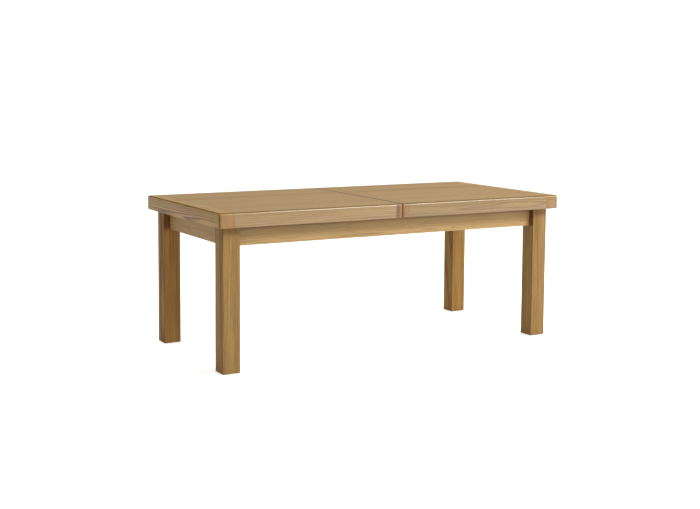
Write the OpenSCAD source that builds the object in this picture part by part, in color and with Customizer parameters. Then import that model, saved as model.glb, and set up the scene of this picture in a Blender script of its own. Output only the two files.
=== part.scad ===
// Extending dining table: a fixed oak frame on four legs, two top halves that slide
// apart on wooden runners, and a loose leaf stored in the frame below the top.
// X runs along the table, -Y is the front, Z is up. The origin is on the floor under
// the middle of the closed table.

/* [Table] */
// Length of the closed top
table_l = 2000; // [1650:10:2400]
// Width of the top
table_w = 945; // [780:5:1140]
// Height of the top surface above the floor
table_h = 775; // [640:5:930]
// How far each half slides outwards
travel = 250; // [180:5:300]

/* [Top] */
// Depth of the visible edge of the top
top_t = 72; // [56:1:90]
// Thickness of the panels inside the edges
panel_t = 26; // [18:1:32]
// Thickness of the long edge boards
edge_t = 30; // [22:1:40]
// Width of the board across each outer end
cap_w = 80; // [60:1:110]
// Width of the board on each side of the middle seam
strip_w = 36; // [28:1:60]
// Radius along the top outer edge
edge_r = 11; // [4:1:12]
// Radius along the bottom outer edge
arris_r = 3; // [1:0.5:4]
// Radius of the upright corners of the top
corner_r = 16; // [5:1:20]
// Gap between the two closed halves
seam_gap = 1.6; // [0.6:0.1:2]

/* [Frame] */
// Width of a leg, both ways
leg_w = 90; // [70:1:110]
// Radius of the upright edges of a leg
leg_r = 3; // [1:0.5:6]
// Overhang of the top past the legs at each end
over_x = 40; // [10:1:120]
// Overhang of the top past the legs at front and back
over_y = 50; // [36:1:90]
// Thickness of the aprons
apron_t = 24; // [18:1:30]
// Thickness of the pads under the legs
glide_t = 3; // [2:0.5:6]
// Thickness of the cross rails that carry the guides
cross_t = 24; // [18:1:32]
// Thickness of a corner block, measured along its bolts
block_t = 26; // [20:1:34]

/* [Slides] */
// Width of a fixed guide
guide_w = 32; // [26:1:40]
// Width of a runner
runner_w = 28; // [22:1:36]
// Radius of a lock bolt
lock_r = 4; // [3:0.5:5]
// How far a lock bolt slides
lock_throw = 20; // [14:1:24]

/* [Leaf] */
// Thickness of the two rails that hold the stored leaf
rail_t = 18; // [14:1:24]
// Width of those rails
rail_w = 64; // [50:1:90]
// How far the stored leaf can slide either way
leaf_play = 20; // [10:1:30]

/* [Hidden] */
$fn = 48;

oak = [0.74, 0.60, 0.40];
beech = [0.80, 0.66, 0.50];
steel = [0.70, 0.71, 0.73];
nylon = [0.20, 0.18, 0.16];

eps = 1;
play = 0.5;
end_x = table_l / 2;
side_y = table_w / 2;
top_z = table_h - top_t;
panel_z = table_h - panel_t;
top_gap = 1.5;
frame_z = top_z - top_gap;
apron_h = top_t + rail_t + 5;
apron_z = frame_z - apron_h;

leg_x = end_x - over_x - leg_w / 2;
leg_y = side_y - over_y - leg_w / 2;
leg_in_x = leg_x - leg_w / 2;
leg_in_y = leg_y - leg_w / 2;
apron_in_x = leg_x - apron_t / 2;
apron_in_y = leg_y - apron_t / 2;
tenon_t = 10;
tenon_l = 28;
shoulder = 12;
housing = 7;
glide_r = 18;

half_l = end_x - seam_gap / 2;
panel_x0 = seam_gap / 2 + strip_w;
panel_x1 = end_x - cap_w;
panel_y = side_y - edge_t;
tongue = 10;
tongue_t = 8;
tongue_z = panel_z + (panel_t - tongue_t) / 2;

leaf_w = 2 * travel - seam_gap;
leaf_x = leaf_w / 2;
guide_y = leaf_x - 18;
guide_z1 = panel_z - 1;
guide_x = panel_x1 - 6;
groove_h = 14;
groove_d = 10;
groove_z = frame_z + (guide_z1 - frame_z) / 2;
runner_y0 = guide_y + guide_w / 2 + play;
runner_y1 = runner_y0 + runner_w;
runner_x0 = panel_x0 + 8;
runner_x1 = panel_x1 - 10;
runner_z = top_z + 2;

cross_x0 = side_y + leaf_play + 5;
cross_z = frame_z - 62;
stop_x1 = cross_x0 - travel - 2;
stop_l = 18;
stop_z = runner_z - 12;

rail_z = apron_z + 1.5;
rail_x = side_y - edge_t / 2;
leaf_z = rail_z + rail_t + 0.4;
stop_side = 20;

block_reach = 132;
block_z0 = frame_z - 70;
block_z1 = frame_z - 12;
block_w = block_t * sqrt(2);
bolt_r = 4;
bolt_z = [block_z0 + 15, block_z1 - 15];
bolt_in = 45;
block_near = (leg_w / 2 - apron_t / 2) * -sqrt(2) + (block_reach - block_w) / sqrt(2);
block_far = block_near + block_t;
washer_t = 2;
nut_t = 7;

dowel_r = 5;
dowel_in = 20;
dowel_out = 12;
dowel_play = 0.4;
dowel_z = panel_z + panel_t / 2;
dowel_y = [-0.36 * table_w, 0, 0.36 * table_w];

lock_y = (runner_y1 + panel_y) / 2;
lock_z = panel_z - 10;
lock_w = 26;
lock_h = 18;
lock_fit = 0.08;
lock_x = [6, 52];
bolt_x = [8, 48];
knob_x = 42;
knob_r = 3.5;
keeper_x = [4, 24];

// A rectangle standing on its bottom edge, with rounded top and bottom corners
module rounded_profile(w, h, top_r, low_r) {
    translate([-w / 2, low_r]) square([w, h - top_r - low_r]);
    translate([-w / 2 + top_r, low_r]) square([w - 2 * top_r, h - low_r]);
    translate([-w / 2 + low_r, 0]) square([w - 2 * low_r, 2 * low_r]);
    for (s = [-1, 1]) {
        translate([s * (w / 2 - top_r), h - top_r]) circle(top_r);
        translate([s * (w / 2 - low_r), low_r]) circle(low_r);
    }
}

module rounded_square(w, r) {
    square([w - 2 * r, w], center = true);
    square([w, w - 2 * r], center = true);
    for (a = [-1, 1], b = [-1, 1]) translate([a * (w / 2 - r), b * (w / 2 - r)]) circle(r);
}

// A box from its lowest corner to its highest corner
module span(a, b) translate(a) cube(b - a);

// Extrudes a profile drawn in Y and Z along X, from x over the length l
module along_x(x, l) translate([x, 0, 0]) rotate([90, 0, 90]) linear_extrude(l) children();

// Puts a part drawn in the right-hand back quarter at another corner
module corner(sx, sy) mirror([sx < 0 ? 1 : 0, 0, 0]) mirror([0, sy < 0 ? 1 : 0, 0]) children();
module left() mirror([1, 0, 0]) children();
module front() mirror([0, 1, 0]) children();

// A round head screw pointing up, with the underside of its head at z = 0
module screw(r, l) {
    cylinder(r = r, h = l);
    translate([0, 0, -1.2 * r]) cylinder(r = 2 * r, h = 1.2 * r);
}

// ---- Frame, drawn for the right-hand back quarter ----

module long_tenon() span([leg_in_x - eps, leg_y - tenon_t / 2, apron_z + shoulder],
                         [leg_in_x + tenon_l, leg_y + tenon_t / 2, frame_z - shoulder]);

module end_tenon() span([leg_x - tenon_t / 2, leg_in_y - eps, apron_z + shoulder],
                        [leg_x + tenon_t / 2, leg_in_y + tenon_l, frame_z - shoulder]);

// Works outwards from the inner corner of a leg, towards the middle of the table
module bolt_line(z) translate([leg_in_x, leg_in_y, z]) rotate([0, 0, 225]) rotate([0, 90, 0]) children();

module leg_bolt_pair() for (z = bolt_z) bolt_line(z)
    translate([0, 0, -bolt_in]) cylinder(r = bolt_r, h = bolt_in + block_far + washer_t + nut_t + 4);

module leg() color(oak) difference() {
    translate([leg_x, leg_y, glide_t]) linear_extrude(frame_z - glide_t) rounded_square(leg_w, leg_r);
    long_tenon();
    end_tenon();
    leg_bolt_pair();
}

module block_screw_pair() {
    z = (block_z0 + block_z1) / 2;
    d = block_reach - block_w / 2;
    translate([apron_in_x - d, apron_in_y - 16, z]) rotate([-90, 0, 0]) screw(2, 30);
    translate([apron_in_x - 16, apron_in_y - d, z]) rotate([0, 90, 0]) screw(2, 30);
}

// Where the head of a block screw is let into the block
module block_screw_recess() {
    z = (block_z0 + block_z1) / 2;
    d = block_reach - block_w / 2;
    translate([apron_in_x - d, apron_in_y - 46, z]) rotate([-90, 0, 0]) cylinder(r = 4, h = 30);
    translate([apron_in_x - 46, apron_in_y - d, z]) rotate([0, 90, 0]) cylinder(r = 4, h = 30);
}

module corner_block() color(beech) difference() {
    translate([apron_in_x, apron_in_y, block_z0]) linear_extrude(block_z1 - block_z0)
        polygon([[-block_reach, 0], [-block_reach + block_w, 0], [0, -block_reach + block_w],
                 [0, -block_reach]]);
    for (z = bolt_z) bolt_line(z) cylinder(r = bolt_r + play, h = block_far + 10);
    block_screw_pair();
    block_screw_recess();
}

module corner_block_screws() color(steel) for (a = [-1, 1], b = [-1, 1]) corner(a, b) block_screw_pair();
module leg_bolts() color(steel) for (a = [-1, 1], b = [-1, 1]) corner(a, b) leg_bolt_pair();

module leg_washers() color(steel) for (a = [-1, 1], b = [-1, 1]) corner(a, b) for (z = bolt_z)
    bolt_line(z) translate([0, 0, block_far]) difference() {
        cylinder(r = 2.6 * bolt_r, h = washer_t);
        translate([0, 0, -1]) cylinder(r = bolt_r, h = washer_t + 2);
    }

module leg_nuts() color(steel) for (a = [-1, 1], b = [-1, 1]) corner(a, b) for (z = bolt_z)
    bolt_line(z) translate([0, 0, block_far + washer_t]) difference() {
        cylinder(r = 1.85 * bolt_r, h = nut_t, $fn = 6);
        translate([0, 0, -1]) cylinder(r = bolt_r, h = nut_t + 2);
    }

module foot_glides() color(nylon) for (a = [-1, 1], b = [-1, 1])
    translate([a * leg_x, b * leg_y, 0]) cylinder(r = glide_r, h = glide_t);

// The back apron, housed for the cross rails and the leaf rails
module long_apron() color(oak) difference() {
    union() {
        span([-leg_in_x, apron_in_y, apron_z], [leg_in_x, apron_in_y + apron_t, frame_z]);
        for (s = [-1, 1]) corner(s, 1) long_tenon();
    }
    for (s = [-1, 1]) corner(s, 1) {
        cross_rail_form();
        leaf_rail_form();
        block_screw_pair();
    }
}

module end_apron() color(oak) difference() {
    union() {
        span([apron_in_x, -leg_in_y, apron_z], [apron_in_x + apron_t, leg_in_y, frame_z]);
        for (s = [-1, 1]) corner(1, s) end_tenon();
    }
    for (s = [-1, 1]) corner(1, s) block_screw_pair();
    guide_screw_set();
}

module cross_rail_form() span([cross_x0, -apron_in_y - housing, cross_z],
                              [cross_x0 + cross_t, apron_in_y + housing, frame_z]);

module cross_rail() color(beech) difference() {
    cross_rail_form();
    guide_screw_set();
}

module leaf_rail_form() span([rail_x - rail_w / 2, -apron_in_y - housing, rail_z],
                             [rail_x + rail_w / 2, apron_in_y + housing, rail_z + rail_t]);

module leaf_rail() color(beech) leaf_rail_form();

module leaf_stops() color(beech) for (a = [-1, 1], b = [-1, 1]) corner(a, b)
    span([rail_x - stop_side / 2, leaf_x + 2, rail_z + rail_t],
         [rail_x + stop_side / 2, leaf_x + 2 + stop_side, rail_z + rail_t + stop_side]);

// ---- Guides fixed to the frame, runners fixed to the top ----

module guide_screw_set() for (s = [-1, 1], x = [cross_x0 + cross_t / 2])
    translate([x, s * guide_y, guide_z1 - 5]) rotate([180, 0, 0]) screw(2.5, guide_z1 - frame_z + 25);

module guide_screws() color(steel) {
    guide_screw_set();
    left() guide_screw_set();
}

module guide() color(beech) difference() {
    span([-guide_x, guide_y - guide_w / 2, frame_z], [guide_x, guide_y + guide_w / 2, guide_z1]);
    span([-guide_x - eps, guide_y + guide_w / 2 - groove_d, groove_z - groove_h / 2],
         [guide_x + eps, guide_y + guide_w / 2 + eps, groove_z + groove_h / 2]);
    for (s = [-1, 1]) corner(s, 1) {
        guide_screw_set();
        translate([cross_x0 + cross_t / 2, guide_y, guide_z1 - 5]) cylinder(r = 5, h = 10);
    }
}

module runner_screw_set() for (s = [-1, 1], i = [0 : 3])
    translate([runner_x0 + 40 + i * (runner_x1 - runner_x0 - 80) / 3, s * (runner_y0 + runner_y1) / 2,
               runner_z + 14]) screw(2.5, panel_z - runner_z - 14 + 15);

module runner_screws() color(steel) runner_screw_set();

module runner() color(beech) difference() {
    union() {
        span([runner_x0, runner_y0, runner_z], [runner_x1, runner_y1, panel_z]);
        span([runner_x0, runner_y0 - groove_d + play, groove_z - groove_h / 2 + play],
             [runner_x1, runner_y0 + 1, groove_z + groove_h / 2 - play]);
        span([stop_x1 - stop_l, runner_y0 + 6, stop_z], [stop_x1, runner_y1, runner_z + 1]);
    }
    for (i = [0 : 3])
        translate([runner_x0 + 40 + i * (runner_x1 - runner_x0 - 80) / 3, (runner_y0 + runner_y1) / 2,
                   runner_z - 5]) cylinder(r = 5, h = 19);
    runner_screw_set();
}

// ---- The right half of the top ----

// The outer form, rounded along three sides and at two corners
module half_form() intersection() {
    along_x(seam_gap / 2, half_l) translate([0, top_z])
        rounded_profile(table_w, top_t, edge_r, arris_r);
    translate([0, table_w, 0]) rotate([90, 0, 0]) linear_extrude(2 * table_w)
        translate([0, top_z]) rounded_profile(table_l, top_t, edge_r, arris_r);
    translate([0, 0, top_z - 1]) linear_extrude(top_t + 2) {
        translate([0, -side_y]) square([end_x - corner_r, table_w]);
        translate([0, -side_y + corner_r]) square([end_x, table_w - 2 * corner_r]);
        for (s = [-1, 1]) translate([end_x - corner_r, s * (side_y - corner_r)]) circle(corner_r);
    }
}

// A panel with a tongue along all four sides; grow leaves room at the end of the tongue
module panel_form(x0, x1, y, grow = 0) {
    span([x0, -y, panel_z], [x1, y, table_h]);
    span([x0 - tongue - grow, -y - tongue - grow, tongue_z],
         [x1 + tongue + grow, y + tongue + grow, tongue_z + tongue_t]);
}

module half_panel(grow = 0) panel_form(panel_x0, panel_x1, panel_y, grow);

module top_panel_right() color(oak) difference() {
    half_panel();
    runner_screw_set();
    keeper_screw_set();
}

module top_panel_left() color(oak) left() difference() {
    half_panel();
    runner_screw_set();
    lock_screw_set();
}

module end_cap() color(oak) difference() {
    intersection() {
        half_form();
        span([panel_x1, -side_y, top_z], [end_x, side_y, table_h]);
    }
    half_panel(play);
}

module edge_board() color(oak) difference() {
    intersection() {
        half_form();
        span([panel_x0, panel_y, top_z], [panel_x1, side_y, table_h]);
    }
    half_panel(play);
}

// The strip beside the seam is as thin as the panel between its two ends
module strip_form() difference() {
    intersection() {
        half_form();
        span([seam_gap / 2, -side_y, top_z], [panel_x0, side_y, table_h]);
    }
    span([0, -panel_y, top_z - eps], [panel_x0 + eps, panel_y, panel_z]);
    half_panel(play);
}

module dowel_row(x, r, l) for (y = dowel_y) translate([x, y, dowel_z]) rotate([0, 90, 0]) cylinder(r = r, h = l);

module seam_strip_right() color(oak) difference() {
    strip_form();
    dowel_row(0, dowel_r + dowel_play, seam_gap / 2 + dowel_out + 2);
}

module seam_strip_left() color(oak) difference() {
    left() strip_form();
    dowel_row(-seam_gap / 2 - dowel_in, dowel_r, dowel_in + 1);
}

module top_dowels() color(beech)
    dowel_row(-seam_gap / 2 - dowel_in, dowel_r, dowel_in + seam_gap + dowel_out);

// ---- Locks under the seam: a sliding bolt on the left half, a keeper on the right ----

// Drawn on the +X side; the left half mirrors it
module lock_screw_set() for (s = [-1, 1], x = [11, 47], y = [-9, 9])
    translate([panel_x0 + x, s * lock_y + y, lock_z - 5]) screw(1.5, 22);

module keeper_screw_set() for (s = [-1, 1], y = [-9, 9])
    translate([panel_x0 + 10, s * lock_y + y, lock_z - 5]) screw(1.5, 22);

module lock_housing() color(steel) left() difference() {
    span([lock_x[0], lock_y - lock_w / 2, lock_z - lock_h / 2 + 1],
         [panel_x0 + 54, lock_y + lock_w / 2, panel_z]);
    translate([0, lock_y, lock_z]) rotate([0, 90, 0]) cylinder(r = lock_r + lock_fit, h = panel_x0 + 46);
    span([knob_x - lock_throw - knob_r - play, lock_y - knob_r - play, lock_z - lock_h],
         [knob_x + knob_r + play, lock_y + knob_r + play, lock_z]);
    lock_screw_set();
    for (x = [11, 47], y = [-9, 9])
        translate([panel_x0 + x, lock_y + y, lock_z - lock_h]) cylinder(r = 3, h = lock_h - 5);
}

module lock_bolt() color(steel) left() {
    translate([bolt_x[0], lock_y, lock_z]) rotate([0, 90, 0]) cylinder(r = lock_r, h = bolt_x[1] - bolt_x[0]);
    translate([knob_x, lock_y, lock_z - 20]) cylinder(r = knob_r, h = 20);
}

module lock_keeper() color(steel) difference() {
    span([keeper_x[0], lock_y - lock_w / 2, lock_z - lock_h / 2 + 1],
         [panel_x0 + 20, lock_y + lock_w / 2, panel_z]);
    translate([0, lock_y, lock_z]) rotate([0, 90, 0]) cylinder(r = lock_r + 0.4, h = keeper_x[1]);
    keeper_screw_set();
    for (y = [-9, 9])
        translate([panel_x0 + 10, lock_y + y, lock_z - lock_h]) cylinder(r = 3, h = lock_h - 5);
}

module lock_screws_left() color(steel) left() lock_screw_set();
module lock_screws_right() color(steel) keeper_screw_set();

// ---- The leaf, drawn as it lies between the opened halves, then stored turned ----

module stored() translate([0, 0, leaf_z - top_z]) rotate([0, 0, 90]) children();

module leaf_form() along_x(-leaf_x, leaf_w) translate([0, top_z])
    rounded_profile(table_w, top_t, edge_r, arris_r);

module leaf_panel_form(grow = 0) panel_form(-leaf_x + strip_w, leaf_x - strip_w, panel_y, grow);

module leaf_panel() color(oak) stored() leaf_panel_form();

module leaf_edge() color(oak) difference() {
    intersection() {
        leaf_form();
        span([-leaf_x + strip_w, panel_y, top_z], [leaf_x - strip_w, side_y, table_h]);
    }
    leaf_panel_form(play);
}

module leaf_strip() difference() {
    intersection() {
        leaf_form();
        span([leaf_x - strip_w, -side_y, top_z], [leaf_x, side_y, table_h]);
    }
    span([leaf_x - strip_w - eps, -panel_y, top_z - eps], [leaf_x + eps, panel_y, panel_z]);
    leaf_panel_form(play);
}

module leaf_strip_left() color(oak) stored() difference() {
    left() leaf_strip();
    dowel_row(-leaf_x, dowel_r + dowel_play, dowel_out + 2);
}

module leaf_strip_right() color(oak) stored() difference() {
    leaf_strip();
    dowel_row(leaf_x - dowel_in, dowel_r, dowel_in + 1);
}

module leaf_dowels() color(beech) stored() dowel_row(leaf_x - dowel_in, dowel_r, dowel_in + dowel_out);

// ---- Nodes ----

corner(-1, -1) leg();  // leg_front_left
corner(1, -1) leg();  // leg_front_right
corner(-1, 1) leg();  // leg_back_left
corner(1, 1) leg();  // leg_back_right
front() long_apron();  // apron_front
long_apron();  // apron_back
left() end_apron();  // apron_left
end_apron();  // apron_right
corner(-1, -1) corner_block();  // corner_block_front_left
corner(1, -1) corner_block();  // corner_block_front_right
corner(-1, 1) corner_block();  // corner_block_back_left
corner(1, 1) corner_block();  // corner_block_back_right
corner_block_screws();
leg_bolts();
leg_washers();
leg_nuts();
foot_glides();
left() cross_rail();  // cross_rail_left
cross_rail();  // cross_rail_right
front() guide();  // guide_front
guide();  // guide_back
guide_screws();
left() leaf_rail();  // leaf_rail_left
leaf_rail();  // leaf_rail_right
leaf_stops();
top_panel_left();
left() end_cap();  // end_cap_left
corner(-1, -1) edge_board();  // edge_front_left
left() edge_board();  // edge_back_left
seam_strip_left();
corner(-1, -1) runner();  // runner_front_left
left() runner();  // runner_back_left
left() runner_screws();  // runner_screws_left
top_dowels();
front() lock_housing();  // lock_housing_front
lock_housing();  // lock_housing_back
lock_screws_left();
top_panel_right();
end_cap();  // end_cap_right
front() edge_board();  // edge_front_right
edge_board();  // edge_back_right
seam_strip_right();
front() runner();  // runner_front_right
runner();  // runner_back_right
runner_screws();  // runner_screws_right
front() lock_keeper();  // lock_keeper_front
lock_keeper();  // lock_keeper_back
lock_screws_right();
front() lock_bolt();  // lock_bolt_front
lock_bolt();  // lock_bolt_back
leaf_panel();
stored() front() leaf_edge();  // leaf_edge_front
stored() leaf_edge();  // leaf_edge_back
leaf_strip_left();
leaf_strip_right();
leaf_dowels();
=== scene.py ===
"""Looks for an extending oak dining table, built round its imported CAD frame."""
import math

import bmesh
import bpy
from mathutils import Matrix, Quaternion, Vector


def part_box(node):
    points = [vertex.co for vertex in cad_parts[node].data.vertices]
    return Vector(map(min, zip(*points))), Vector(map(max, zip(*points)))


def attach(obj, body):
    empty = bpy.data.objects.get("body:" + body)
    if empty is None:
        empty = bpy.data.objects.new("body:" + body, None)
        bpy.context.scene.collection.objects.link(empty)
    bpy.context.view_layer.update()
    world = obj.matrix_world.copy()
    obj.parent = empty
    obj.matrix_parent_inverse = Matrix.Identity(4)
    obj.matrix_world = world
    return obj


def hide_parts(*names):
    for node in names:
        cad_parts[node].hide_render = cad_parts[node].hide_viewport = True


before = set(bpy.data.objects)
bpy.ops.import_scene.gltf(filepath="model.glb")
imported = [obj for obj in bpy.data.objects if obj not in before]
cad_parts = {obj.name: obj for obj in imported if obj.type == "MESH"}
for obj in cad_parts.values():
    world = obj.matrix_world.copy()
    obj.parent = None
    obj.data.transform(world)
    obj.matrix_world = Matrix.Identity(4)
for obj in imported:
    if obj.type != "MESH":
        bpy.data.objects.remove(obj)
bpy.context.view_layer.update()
TOP_R = 0.011       # round along the top outer edge
LOW_R = 0.003       # round along the bottom outer edge
CORNER_R = 0.016    # upright corners of the top
TINY_R = 0.00015    # no corner is quite sharp
SHARP = math.radians(32)    # edges that turn more than this stay sharp
SOCKET_PLAY = 0.0004        # how much wider a socket's radius is than its dowel's
SEAM_EASE = 0.0016          # eased edges of the strips beside the seam
ROUND_RIM = (0.80, 0.192)   # how far up the round the painted shade band reaches, and the spread of it
CORNER_RIM = (0.5, 0.07)    # the same at the upright corners
# painted shade: the brown of the band along the rounded edges and upright corners
RIM_SHADE_BROWN = (0.115, 0.068, 0.022)
# painted shade: the brown of the strip beside the seam
SEAM_SHADE_BROWN = (0.115, 0.058, 0.022)
# painted shade under the tabletop takes this tint
SHADE_TINT = (0.50, 0.37, 0.29)
APRON_SHADE = (0.672, 0.699)    # heights between which painted shade darkens an apron towards the tabletop
LEG_SHADE = (0.590, 0.620)      # the same for a leg's inner faces

# Waves per metre along and across the grain
BEND = (1.1, 5.0)
CLOUD = (1.2, 30.0)
WOBBLE = (6.0, 90.0)
THREAD = (4.0, 170.0)
PORE = (22.0, 520.0)

FLOOR_HALF = 60.0
FLOOR_Z = -0.0005           # just under the pads
FLOOR_GREY = (0.93, 0.93, 0.93)
FLOOR_GLOW = 0.62
PAD_REACH = 0.004           # rays shorter than this come from the pads that stand on the floor
SKY_FOR_LIGHT, SKY_FOR_CAMERA = 0.5, 1.2
SKY_COLOUR = (1, 0.965, 0.90, 1)

CAMERA_PLACE = (-3.167, -5.447, 1.400)
CAMERA_YAW, CAMERA_PITCH, CAMERA_ROLL = (math.radians(a) for a in (29.90, -5.15, -0.41))
CAMERA_LENS = 60.74         # on a sensor 36 mm wide


# ---------------------------------------------------------------- materials
class Nodes:
    """Short names for the shader nodes of one material."""

    def __init__(self, name):
        self.mat = bpy.data.materials.new(name)
        self.mat.use_nodes = True
        self.tree = self.mat.node_tree
        self.bsdf = self.tree.nodes["Principled BSDF"]

    def add(self, kind, **settings):
        node = self.tree.nodes.new(kind)
        for key, value in settings.items():
            setattr(node, key, value)
        return node

    def put(self, value, socket):
        if isinstance(value, bpy.types.NodeSocket):
            self.tree.links.new(value, socket)
        else:
            socket.default_value = value

    def math(self, op, a, b=0.0, c=None):
        node = self.add("ShaderNodeMath", operation=op)
        self.put(a, node.inputs[0])
        self.put(b, node.inputs[1])
        if c is not None:
            self.put(c, node.inputs[2])
        return node.outputs[0]

    def xyz(self, x, y, z):
        node = self.add("ShaderNodeCombineXYZ")
        for value, socket in zip((x, y, z), node.inputs):
            self.put(value, socket)
        return node.outputs[0]

    def noise(self, vector, scale=1.0, detail=2.0, rough=0.5):
        node = self.add("ShaderNodeTexNoise")
        self.put(vector, node.inputs["Vector"])
        node.inputs["Scale"].default_value = scale
        node.inputs["Detail"].default_value = detail
        node.inputs["Roughness"].default_value = rough
        return node.outputs["Fac"]

    def ramp(self, fac, stops):
        node = self.add("ShaderNodeValToRGB")
        self.put(fac, node.inputs[0])
        line = node.color_ramp
        while len(line.elements) < len(stops):
            line.elements.new(0.5)
        for element, (at, colour) in zip(line.elements, stops):
            element.position = at
            element.color = (colour,) * 3 + (1,) if isinstance(colour, float) else (*colour, 1)
        return node.outputs[0]

    def mix(self, fac, a, b, blend="MIX"):
        node = self.add("ShaderNodeMix", data_type="RGBA", blend_type=blend)
        self.put(fac, node.inputs["Factor"])
        for value, socket in ((a, node.inputs[6]), (b, node.inputs[7])):
            self.put((*value, 1) if isinstance(value, tuple) else value, socket)
        return node.outputs[2]

    def bump(self, height, strength, distance):
        node = self.add("ShaderNodeBump")
        self.put(height, node.inputs["Height"])
        node.inputs["Strength"].default_value = strength
        node.inputs["Distance"].default_value = distance
        self.tree.links.new(node.outputs[0], self.bsdf.inputs["Normal"])


def wood(name, grain, light, dark, pith=(0.05, 0.03), ring=0.0045, wander=0.02, contrast=0.6,
         staves=None, seed=0.0, rough=0.46, pores=0.5, coat=0.12, streaks=0.8, end_tint=(0.97, 0.89, 0.86),
         band=None, seam_shade=None, shine=0.4, gloss=0.36, fibre=0.5, rim=0.0, calm=0.0,
         under=None, corners=False):
    """Timber cut from one log: growth rings round a pith at its own place by the board.

    rim paints shade along the rounded edges and upright corners, calm quietens the rings on level faces, a
    strip beside the seam can take painted shade for its gap, band tints end grain beside a joint, and under
    paints shade that darkens upwards between two heights.
    """
    n = Nodes(name)
    at = n.add("ShaderNodeTexCoord").outputs["Object"]
    split = n.add("ShaderNodeSeparateXYZ")
    n.put(at, split.inputs[0])
    x, y, z = split.outputs
    u, v, w = {"x": (x, y, z), "y": (y, x, z), "z": (z, x, y)}[grain]
    tint = None
    if staves:
        # glued-up boards side by side, each cut from its own place in the log
        index = n.math("FLOOR", n.math("DIVIDE", n.math("ADD", v, 10.0 + seed * 0.013), staves))
        white = n.add("ShaderNodeTexWhiteNoise", noise_dimensions="1D")
        n.put(n.math("ADD", index, seed), white.inputs["W"])
        tint = white.outputs["Value"]
        u = n.math("ADD", u, n.math("MULTIPLY", tint, 37.0))
        v = n.math("SUBTRACT", v, n.math("MULTIPLY", index, staves))
        v = n.math("ADD", v, n.math("MULTIPLY", tint, 0.09))

    def stretched(along, across):
        return n.xyz(n.math("MULTIPLY", u, along), n.math("MULTIPLY", v, across),
                     n.math("MULTIPLY", w, across))

    # growth rings round the pith, which wanders along the board
    slow = stretched(*BEND)
    shift = n.add("ShaderNodeVectorMath", operation="ADD")
    n.put(slow, shift.inputs[0])
    shift.inputs[1].default_value = (seed, seed * 0.7, seed * 1.3)
    bend = n.math("MULTIPLY", n.math("SUBTRACT", n.noise(shift.outputs[0], 1.0, 1.5), 0.5), wander)
    sway = n.math("MULTIPLY", n.math("SUBTRACT", n.noise(shift.outputs[0], 1.7, 1.0), 0.5), wander * 0.6)
    a = n.math("ADD", n.math("ADD", v, bend), pith[0])
    b = n.math("ADD", n.math("ADD", w, sway), pith[1])
    radius = n.math("SQRT", n.math("ADD", n.math("MULTIPLY", a, a), n.math("MULTIPLY", b, b)))
    wobble = n.math("MULTIPLY", n.noise(stretched(*WOBBLE), 1.0, 2.0), 0.55)
    phase = n.math("FRACT", n.math("ADD", n.math("DIVIDE", radius, ring), wobble))
    rings = n.ramp(phase, [(0.0, 0.3), (0.1, 0.0), (0.45, 0.0), (0.75, 0.55), (0.9, 1.0), (1.0, 0.3)])
    pore = n.ramp(n.noise(stretched(*PORE), 1.0, 2.0, 0.6), [(0.53, 0.0), (0.68, 1.0)])
    cloud = n.noise(stretched(*CLOUD), 1.0, 3.0, 0.6)
    normal = n.add("ShaderNodeNewGeometry").outputs["Normal"]
    turn = n.add("ShaderNodeVectorTransform", vector_type="NORMAL", convert_from="WORLD", convert_to="OBJECT")
    n.put(normal, turn.inputs[0])
    parts = n.add("ShaderNodeSeparateXYZ")
    n.put(turn.outputs[0], parts.inputs[0])
    up = parts.outputs[2]
    flat = n.math("POWER", n.math("ABSOLUTE", up), 4.0)     # 1 on a level face

    # how dark the wood is: rings, pores, broad clouds, fine threads and the board's own tone
    amount = n.math("MULTIPLY", rings, n.math("MULTIPLY_ADD", flat, -calm * contrast, contrast))
    amount = n.math("ADD", amount, n.math("MULTIPLY", flat, calm * 0.45))
    pored = n.math("MULTIPLY", pore, n.math("MULTIPLY_ADD", rings, 0.5 * pores, 0.3 * pores))
    amount = n.math("ADD", amount, pored)
    amount = n.math("ADD", amount, n.math("MULTIPLY", n.math("SUBTRACT", cloud, 0.42), streaks))
    threads = n.math("SUBTRACT", n.noise(stretched(*THREAD), 1.0, 2.0), 0.5)
    amount = n.math("ADD", amount, n.math("MULTIPLY", threads, fibre))
    if tint is not None:
        amount = n.math("ADD", amount, n.math("MULTIPLY", n.math("SUBTRACT", tint, 0.5), 0.42))
    clamp = n.add("ShaderNodeClamp")
    n.put(amount, clamp.inputs[0])
    darkness = clamp.outputs[0]
    colour = n.mix(darkness, light, dark)

    # end grain drinks more finish and goes redder
    along = n.math("ABSOLUTE", parts.outputs["xyz".index(grain)])
    ends = n.math("SMOOTH_MIN", n.math("POWER", along, 6.0), 1.0, 0.1)
    shown_end = n.mix(1.0, colour, end_tint, "MULTIPLY")
    if band:
        # the darker growth beside a joint, seen on the end grain only
        middle, half, band_tint = band
        inside = n.math("COMPARE", x, middle, half)
        shown_end = n.mix(inside, shown_end, n.mix(1.0, colour, band_tint, "MULTIPLY"))
    colour = n.mix(ends, colour, shown_end)
    shine_here, coat_here = shine, n.math("MULTIPLY_ADD", flat, -coat, coat)
    dull = None
    if rim:
        # painted shade: a brown band, with less shine, where the top turns over into the round and at the
        # upright corners
        both = n.math("ABSOLUTE", n.math("MULTIPLY", parts.outputs[0], parts.outputs[1]))
        turned = n.math("MAXIMUM", n.math("COMPARE", up, *ROUND_RIM), n.math("COMPARE", both, *CORNER_RIM))
        colour = n.mix(n.math("MULTIPLY", turned, rim), colour, RIM_SHADE_BROWN)
        dull = turned
    if under:
        # painted shade: just below the tabletop the wood is darkened
        high = n.add("ShaderNodeMapRange", interpolation_type="SMOOTHSTEP")
        n.put(z, high.inputs["Value"])
        high.inputs["From Min"].default_value, high.inputs["From Max"].default_value = under
        dark_here = high.outputs[0]
        if corners:
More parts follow.
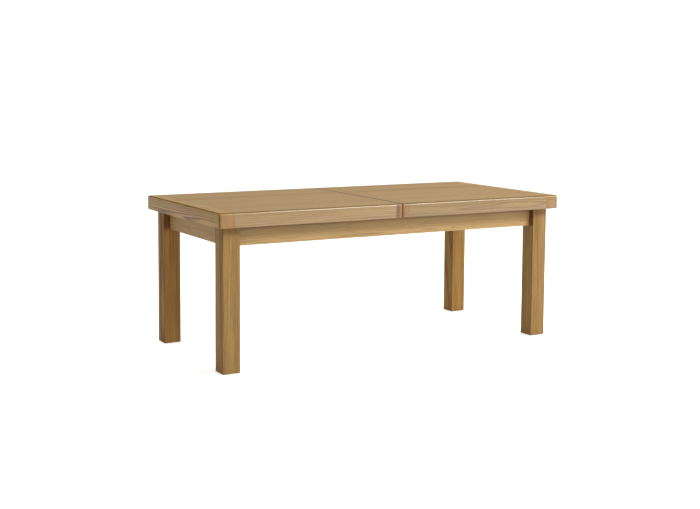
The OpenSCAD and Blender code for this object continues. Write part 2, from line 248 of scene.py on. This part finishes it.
            # on a leg, only the faces that turn towards the middle of the table
            inward = [n.math("MULTIPLY", n.math("SIGN", place), n.math("MULTIPLY", way, -1.0))
                      for place, way in ((x, parts.outputs[0]), (y, parts.outputs[1]))]
            dark_here = n.math("MULTIPLY", dark_here, n.math("MAXIMUM", n.math("MAXIMUM", *inward), 0.0))
        colour = n.mix(dark_here, colour, n.mix(1.0, colour, SHADE_TINT, "MULTIPLY"))
    if seam_shade:
        # painted shade: a strip beside the seam is darkened, with less shine, for the shade in the gap
        beside = n.math("MULTIPLY", n.math("COMPARE", x, seam_shade[0], seam_shade[1]),
                        n.math("LESS_THAN", n.math("ABSOLUTE", parts.outputs[0]), 0.85))
        colour = n.mix(n.math("MULTIPLY", beside, 0.9), colour, SEAM_SHADE_BROWN)
        dull = n.math("MAXIMUM", dull, beside) if dull else beside
    if dull:
        clean = n.math("SUBTRACT", 1.0, dull)
        shine_here, coat_here = n.math("MULTIPLY", clean, shine), n.math("MULTIPLY", clean, coat_here)
    n.tree.links.new(colour, n.bsdf.inputs["Base Color"])
    n.put(n.math("MULTIPLY_ADD", darkness, 0.12, rough), n.bsdf.inputs["Roughness"])
    n.put(shine_here, n.bsdf.inputs["Specular IOR Level"])
    n.put(coat_here, n.bsdf.inputs["Coat Weight"])
    n.bsdf.inputs["Coat Roughness"].default_value = gloss
    height = n.math("ADD", n.math("MULTIPLY", rings, -0.5), n.math("MULTIPLY", pore, -0.5))
    n.bump(height, 0.35, 0.0006)
    return n.mat


def metal(name, colour, rough, scale):
    """Plated or cast metal with a fine mottle, scale being the mottle's waves per metre."""
    n = Nodes(name)
    at = n.add("ShaderNodeTexCoord").outputs["Object"]
    grain = n.noise(at, scale, 3.0, 0.6)
    n.tree.links.new(n.ramp(grain, [(0.3, tuple(c * 0.8 for c in colour)), (0.7, colour)]),
                     n.bsdf.inputs["Base Color"])
    n.put(n.math("MULTIPLY_ADD", grain, 0.25, rough - 0.1), n.bsdf.inputs["Roughness"])
    n.bsdf.inputs["Metallic"].default_value = 1.0
    n.bump(grain, 0.15, 0.0003)
    return n.mat


def plastic(name, colour):
    """Moulded plastic with a fine speck."""
    n = Nodes(name)
    at = n.add("ShaderNodeTexCoord").outputs["Object"]
    speck = n.noise(at, 900.0, 3.0, 0.6)
    n.tree.links.new(n.ramp(speck, [(0.3, tuple(c * 0.7 for c in colour)), (0.7, colour)]),
                     n.bsdf.inputs["Base Color"])
    n.put(n.math("MULTIPLY_ADD", speck, 0.2, 0.45), n.bsdf.inputs["Roughness"])
    n.bump(speck, 0.2, 0.0003)
    return n.mat


LEG = ((0.320, 0.192, 0.060), (0.110, 0.053, 0.012))
# painted light: the aprons are lighter than the legs to make up for the shade they get under the top
APRON = ((0.450, 0.290, 0.115), (0.235, 0.135, 0.046))
TOP = ((0.302, 0.189, 0.074), (0.152, 0.084, 0.029))
EDGE = ((0.315, 0.200, 0.080), (0.160, 0.090, 0.031))
CAP = ((0.460, 0.275, 0.092), (0.160, 0.084, 0.024))
# painted shade: the back legs get redder, darker colours for the warm shade they stand in under the table
LEGS = [LEG, LEG,
        ((0.350, 0.184, 0.044), (0.125, 0.052, 0.009)),
        ((0.310, 0.170, 0.038), (0.106, 0.047, 0.008))]
leg_oak = [wood(f"oak_leg_{i}", "z", *LEGS[i], pith=(0.09 + 0.02 * i, -0.30 - 0.02 * i),
                ring=0.005, wander=0.03, contrast=0.6, streaks=1.2, seed=3.0 + 5.0 * i,
                coat=0.05, shine=0.25, rough=0.55, fibre=1.1, rim=0.5, under=LEG_SHADE, corners=True)
           for i in range(4)]
apron_x = wood("oak_apron_long", "x", *APRON, pith=(0.40, -0.62), ring=0.005, wander=0.05, contrast=0.55,
               seed=11.0, coat=0.1, under=APRON_SHADE)
apron_y = wood("oak_apron_end", "y", *APRON, pith=(0.93, -0.64), ring=0.005, wander=0.05, contrast=0.6,
               seed=12.0, coat=0.1, under=APRON_SHADE)
panel_x = wood("oak_panel", "x", *TOP, pith=(0.0, -0.72), ring=0.0042, wander=0.05, contrast=0.45,
               staves=0.105, seed=5.0, rough=0.54, streaks=0.5, shine=0.3, fibre=0.35)
panel_y = wood("oak_leaf_panel", "y", *TOP, pith=(0.0, -0.64), ring=0.0042, wander=0.05, contrast=0.45,
               staves=0.105, seed=9.0, rough=0.54, streaks=0.5, shine=0.3, fibre=0.35)
edge_left = wood("oak_edge_left", "x", *EDGE, pith=(0.33, -0.66), ring=0.0050, wander=0.02, contrast=0.5,
                 seed=21.0, fibre=0.8, coat=0.9, gloss=0.28, rim=0.65)
DARKER_EDGE = [tuple(c * 0.86 for c in tone) for tone in EDGE]
edge_right = wood("oak_edge_right", "x", *DARKER_EDGE, pith=(0.43, -0.74), ring=0.0045, wander=0.05,
                  contrast=0.65, seed=22.0, coat=0.9, gloss=0.28, rim=0.65)
edge_y = wood("oak_edge_leaf", "y", *EDGE, pith=(0.38, -0.62), ring=0.0045, wander=0.04, contrast=0.7,
              seed=23.0, rim=0.65)
RED = (0.78, 0.62, 0.64)
cap_left = wood("oak_cap_left", "y", *CAP, pith=(0.955, -0.715), ring=0.0060, wander=0.06, contrast=0.95,
                seed=31.0, streaks=0.5, fibre=0.8, calm=0.8, end_tint=(0.76, 0.74, 0.80),
                band=(-0.927, 0.008, RED), coat=0.35, gloss=0.30, rim=0.65)
cap_right = wood("oak_cap_right", "y", *CAP, pith=(-0.95, -0.70), ring=0.0060, wander=0.06, contrast=0.95,
                 seed=32.0, calm=0.8, end_tint=(0.72, 0.76, 0.92),
                 band=(0.926, 0.007, RED), coat=0.35, gloss=0.30, rim=0.65)
strip_left = wood("oak_strip_left", "y", *TOP, pith=(0.06, -0.70), ring=0.0040, wander=0.03, contrast=0.6,
                  seed=33.0, band=(-0.027, 0.012, (0.66, 0.50, 0.52)), seam_shade=(-0.0008, 0.0040),
                  coat=0.35, gloss=0.30, rim=0.65)
strip_right = wood("oak_strip_right", "y", *TOP, pith=(0.04, -0.68), ring=0.0040, wander=0.03, contrast=0.6,
                   seed=35.0, end_tint=(0.95, 0.86, 0.83), seam_shade=(0.0008, 0.0040),
                   coat=0.35, gloss=0.30, rim=0.65)
strip_x = wood("oak_leaf_strip", "x", *TOP, pith=(0.30, -0.60), ring=0.0040, wander=0.03, contrast=0.6,
               seed=34.0, rim=0.65)
BEECH = ((0.560, 0.370, 0.205), (0.400, 0.235, 0.115))
beech_x = wood("beech_x", "x", *BEECH, pith=(0.5, -0.6), ring=0.003, contrast=0.3, seed=41.0,
               pores=0.35, coat=0.0, rough=0.6)
beech_y = wood("beech_y", "y", *BEECH, pith=(0.7, -0.6), ring=0.003, contrast=0.3, seed=42.0,
               pores=0.35, coat=0.0, rough=0.6)
steel = metal("zinc_plated_steel", (0.58, 0.58, 0.57), 0.36, 240.0)
zinc = metal("cast_zinc", (0.45, 0.46, 0.47), 0.48, 420.0)
nylon = plastic("nylon_pad", (0.110, 0.085, 0.062))


# ---------------------------------------------------------------- boards
def outline(x0, x1, y0, y1, radii, steps=6):
    """A rectangle with its own radius at each corner, anticlockwise from the corner (x1, y1)."""
    points = []
    corners = ((x1, y1, 1, 1), (x0, y1, -1, 1), (x0, y0, -1, -1), (x1, y0, 1, -1))
    for k, (cx, cy, sx, sy) in enumerate(corners):
        r = max(radii[k], TINY_R)
        for i in range(steps + 1):
            angle = math.radians(90 * k + 90 * i / steps)
            points.append((cx - sx * r + r * math.cos(angle), cy - sy * r + r * math.sin(angle)))
    return points


def round_in(z, height):
    """How far a side with rounded edges stands back at height z."""
    if z < LOW_R:
        return LOW_R - math.sqrt(max(LOW_R ** 2 - (LOW_R - z) ** 2, 0.0))
    if z > height - TOP_R:
        return TOP_R - math.sqrt(max(TOP_R ** 2 - (z - height + TOP_R) ** 2, 0.0))
    return 0.0


def shade(bm):
    """Smooth over the rounded parts, sharp at the corners."""
    bmesh.ops.recalc_face_normals(bm, faces=bm.faces)
    bm.normal_update()
    for edge in bm.edges:
        if len(edge.link_faces) == 2 and edge.calc_face_angle(0.0) > SHARP:
            edge.smooth = False
    for face in bm.faces:
        face.smooth = len(face.verts) == 4


def make(name, bm, material, body, nodes):
    """A new piece that rides on a body and stands for the CAD nodes."""
    shade(bm)
    mesh = bpy.data.meshes.new(name)
    bm.to_mesh(mesh)
    bm.free()
    mesh.materials.append(material)
    piece = bpy.data.objects.new(name, mesh)
    bpy.context.scene.collection.objects.link(piece)
    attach(piece, body)
    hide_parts(*nodes)
    return piece


def board(node, material, body, outer="", soft=0.0007, corner=0.0, cut=None, lo=None, hi=None):
    """A board standing for a CAD node. Its sides named in outer are rounded, the rest only eased.

    It fills the node's box unless lo and hi are given, and cut is a box taken out of it.
    """
    if lo is None:
        lo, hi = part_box(node)
    height = hi.z - lo.z
    levels = {0.0, soft, height - soft, height}
    if outer:
        levels |= {LOW_R * (1 - math.cos(math.radians(90 * i / 4))) for i in range(5)}
        levels |= {height - TOP_R * (1 - math.sin(math.radians(90 * i / 8))) for i in range(9)}
    levels = sorted(levels)
    levels = [z for i, z in enumerate(levels) if i == 0 or z - levels[i - 1] > 1e-6]
    bm = bmesh.new()
    loops = []
    for z in levels:
        far = round_in(z, height) if outer else 0.0
        near = max(soft - z, soft - (height - z), 0.0)
        inset = {side: far if side in outer.split() else near for side in ("x0", "x1", "y0", "y1")}
        radii = []
        for a, b in (("x1", "y1"), ("x0", "y1"), ("x0", "y0"), ("x1", "y0")):
            both = a in outer.split() and b in outer.split()
            radii.append(max(CORNER_R - far, 0.0006) if both else max(corner - near, soft * 0.6))
        points = outline(lo.x + inset["x0"], hi.x - inset["x1"],
                         lo.y + inset["y0"], hi.y - inset["y1"], radii)
        loops.append([bm.verts.new((px, py, lo.z + z)) for px, py in points])
    for low, high in zip(loops, loops[1:]):
        for i in range(len(low)):
            j = (i + 1) % len(low)
            bm.faces.new((low[i], low[j], high[j], high[i]))
    bm.faces.new(list(reversed(loops[0])))
    bm.faces.new(loops[-1])
    piece = make(node + "_wood", bm, material, body, [node])
    if cut:
        carve(piece, *cut)
    return piece


def carve(piece, lo, hi):
    """Cuts a box out of a piece, as with the thin middle of a strip."""
    bm = bmesh.new()
    bmesh.ops.create_cube(bm, size=1.0)
    for v in bm.verts:
        v.co = Vector((lo[i] if v.co[i] < 0 else hi[i]) for i in range(3))
    cut_away(piece, bm)


def bore(piece, axis, start, end, row):
    """Drills sockets into a piece in line with a row of three dowels, along X (0) or Y (1)."""
    lo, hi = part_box(row)
    across = 1 - axis
    r = (hi.z - lo.z) / 2
    turn = Matrix.Rotation(math.radians(90), 4, "YX"[axis])
    bm = bmesh.new()
    for place in (lo[across] + r, (lo[across] + hi[across]) / 2, hi[across] - r):
        centre = Vector((0, 0, lo.z + r))
        centre[across] = place
        centre[axis] = (start + end) / 2
        bmesh.ops.create_cone(bm, cap_ends=True, segments=32, depth=abs(end - start),
                              radius1=r + SOCKET_PLAY, radius2=r + SOCKET_PLAY,
                              matrix=Matrix.Translation(centre) @ turn)
    cut_away(piece, bm)


def cut_away(piece, bm):
    """Takes the closed shape bm away from a piece, for good."""
    mesh = bpy.data.meshes.new("cutter")
    bm.to_mesh(mesh)
    bm.free()
    cutter = bpy.data.objects.new("cutter", mesh)
    bpy.context.scene.collection.objects.link(cutter)
    mod = piece.modifiers.new("cut", "BOOLEAN")
    mod.operation = "DIFFERENCE"
    mod.solver = "EXACT"
    mod.object = cutter
    bpy.context.view_layer.update()
    done = bpy.data.meshes.new_from_object(piece.evaluated_get(bpy.context.evaluated_depsgraph_get()))
    piece.modifiers.clear()
    bm = bmesh.new()
    bm.from_mesh(done)
    shade(bm)
    bm.to_mesh(done)
    bm.free()
    piece.data = done
    bpy.data.objects.remove(cutter)


# ---------------------------------------------------------------- the table
# Legs and aprons. An apron's box takes in its tenons, so its ends lie inside the legs
for i, spot in enumerate(("front_left", "front_right", "back_left", "back_right")):
    board("leg_" + spot, leg_oak[i], "frame", soft=0.0012, corner=0.003)
board("apron_front", apron_x, "frame", soft=0.001)
board("apron_back", apron_x, "frame", soft=0.001)
board("apron_left", apron_y, "frame", soft=0.001)
board("apron_right", apron_y, "frame", soft=0.001)

panel_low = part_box("top_panel_right")[0].z

for side, s in (("left", -1), ("right", 1)):
    body = "top_" + side
    far = "x1" if s > 0 else "x0"
    edge = edge_right if s > 0 else edge_left
    board("end_cap_" + side, cap_right if s > 0 else cap_left, body, outer=f"{far} y0 y1")
    board("edge_front_" + side, edge, body, outer="y0")
    board("edge_back_" + side, edge, body, outer="y1")
    a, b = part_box("edge_front_" + side)
    inner_y = -b.y
    # the panel's own face is what shows between the boards round it, not its tongues
    board("top_panel_" + side, panel_x, body,
          lo=Vector((a.x, -inner_y, panel_low)), hi=Vector((b.x, inner_y, b.z)))
    a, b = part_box("seam_strip_" + side)
    strip = board("seam_strip_" + side, strip_right if s > 0 else strip_left, body, outer="y0 y1",
                  soft=SEAM_EASE, cut=((a.x - 0.01, -inner_y, a.z - 0.01), (b.x + 0.01, inner_y, panel_low)))
    if s > 0:
        bore(strip, 0, 0.0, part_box("top_dowels")[1].x + 0.002, "top_dowels")

# The stored leaf lies turned a quarter, so its front edge is on the right
board("leaf_edge_front", edge_y, "leaf", outer="x1")
board("leaf_edge_back", edge_y, "leaf", outer="x0")
a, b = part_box("leaf_edge_front")
leaf_top, leaf_x, leaf_y = b.z, a.x, b.y
leaf_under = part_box("leaf_panel")[0].z
board("leaf_panel", panel_y, "leaf", lo=Vector((-leaf_x, -leaf_y, leaf_under)),
      hi=Vector((leaf_x, leaf_y, leaf_top)))
for side in ("left", "right"):
    a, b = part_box("leaf_strip_" + side)
    strip = board("leaf_strip_" + side, strip_x, "leaf", outer="x0 x1", soft=0.001,
                  cut=((-leaf_x, a.y - 0.01, a.z - 0.01), (leaf_x, b.y + 0.01, leaf_under)))
    if side == "left":
        bore(strip, 1, a.y - 0.001, a.y + 0.014, "leaf_dowels")

# Plain inner timbers with eased edges
for node in ("cross_rail_left", "cross_rail_right", "leaf_rail_left", "leaf_rail_right"):
    board(node, beech_y, "frame", soft=0.0015)

# CAD nodes whose shape is already right only take a material
for names, material in (
    ("corner_block_front_left corner_block_front_right corner_block_back_left corner_block_back_right "
     "leaf_stops", beech_y),
    ("guide_front guide_back runner_front_left runner_back_left runner_front_right runner_back_right "
     "top_dowels leaf_dowels", beech_x),
    ("corner_block_screws leg_bolts leg_washers leg_nuts guide_screws runner_screws_left "
     "runner_screws_right lock_screws_left lock_screws_right lock_bolt_front lock_bolt_back", steel),
    ("lock_housing_front lock_housing_back lock_keeper_front lock_keeper_back", zinc),
    ("foot_glides", nylon),
):
    for node in names.split():
        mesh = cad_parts[node].data
        mesh.materials.clear()
        mesh.materials.append(material)


# ---------------------------------------------------------------- studio
def stage_material(name, colour, rough, glow):
    """A matt ground that the camera sees as white."""
    n = Nodes(name)
    at = n.add("ShaderNodeTexCoord").outputs["Object"]
    cloud = n.noise(at, 0.6, 2.0)
    n.tree.links.new(n.ramp(cloud, [(0.3, tuple(c * 0.99 for c in colour)), (0.7, colour)]),
                     n.bsdf.inputs["Base Color"])
    n.bsdf.inputs["Roughness"].default_value = rough
    n.bsdf.inputs["Specular IOR Level"].default_value = 0.1
    seen = n.add("ShaderNodeLightPath")
    n.bsdf.inputs["Emission Color"].default_value = (1, 1, 1, 1)
    # bright to the camera, and to the pads that stand on it
    near = n.math("LESS_THAN", seen.outputs["Ray Length"], PAD_REACH)
    lit = n.math("MAXIMUM", seen.outputs["Is Camera Ray"], near)
    n.put(n.math("MULTIPLY", lit, glow), n.bsdf.inputs["Emission Strength"])
    # open from below, so that the underside of the table can be looked at
    face = n.add("ShaderNodeNewGeometry")
    clear = n.add("ShaderNodeBsdfTransparent")
    either = n.add("ShaderNodeMixShader")
    n.put(face.outputs["Backfacing"], either.inputs[0])
    n.put(n.bsdf.outputs[0], either.inputs[1])
    n.put(clear.outputs[0], either.inputs[2])
    n.put(either.outputs[0], n.tree.nodes["Material Output"].inputs["Surface"])
    return n.mat


bm = bmesh.new()
bmesh.ops.create_grid(bm, x_segments=1, y_segments=1, size=FLOOR_HALF)
floor_mesh = bpy.data.meshes.new("floor")
bm.to_mesh(floor_mesh)
bm.free()
floor = bpy.data.objects.new("floor", floor_mesh)
floor_mesh.materials.append(stage_material("studio_floor", FLOOR_GREY, 0.7, FLOOR_GLOW))
floor.location.z = FLOOR_Z
bpy.context.scene.collection.objects.link(floor)


def area(name, place, target, size, power, colour=(1, 1, 1)):
    """A soft rectangular light at a place, turned towards a target."""
    light = bpy.data.lights.new(name, "AREA")
    light.shape = "RECTANGLE"
    light.size, light.size_y = size
    light.energy = power
    light.color = colour
    lamp = bpy.data.objects.new(name, light)
    lamp.location = place
    lamp.rotation_mode = "QUATERNION"
    lamp.rotation_quaternion = (Vector(target) - Vector(place)).to_track_quat("-Z", "Y")
    bpy.context.scene.collection.objects.link(lamp)


area("key", place=(3.7, -4.9, 4.6), target=(0, 0, 0.6), size=(5.0, 1.5), power=570,
     colour=(1.0, 0.985, 0.96))
area("top_light", place=(0.8, 1.5, 5.5), target=(0, 0, 0.7), size=(5, 4), power=140)

world = bpy.data.worlds.new("studio")
world.use_nodes = True
bpy.context.scene.world = world
tree = world.node_tree
back = tree.nodes["Background"]
back.inputs["Color"].default_value = SKY_COLOUR
seen = tree.nodes.new("ShaderNodeLightPath")
level = tree.nodes.new("ShaderNodeMapRange")
tree.links.new(seen.outputs["Is Camera Ray"], level.inputs["Value"])
level.inputs["To Min"].default_value = SKY_FOR_LIGHT
level.inputs["To Max"].default_value = SKY_FOR_CAMERA
tree.links.new(level.outputs[0], back.inputs["Strength"])

# The camera, 1.4 m up and left of the front
cam_data = bpy.data.cameras.new("camera")
cam_data.sensor_fit = "HORIZONTAL"
cam_data.sensor_width = 36.0
cam_data.lens = CAMERA_LENS
cam_data.shift_y = -0.1
camera = bpy.data.objects.new("camera", cam_data)
bpy.context.scene.collection.objects.link(camera)
level_reach = math.cos(CAMERA_PITCH)
look = Vector((math.sin(CAMERA_YAW) * level_reach, math.cos(CAMERA_YAW) * level_reach,
               math.sin(CAMERA_PITCH)))
camera.location = CAMERA_PLACE
camera.rotation_mode = "QUATERNION"
camera.rotation_quaternion = Quaternion(look, CAMERA_ROLL) @ look.to_track_quat("-Z", "Y")
bpy.context.scene.camera = camera
bpy.context.scene.view_settings.view_transform = "Standard"
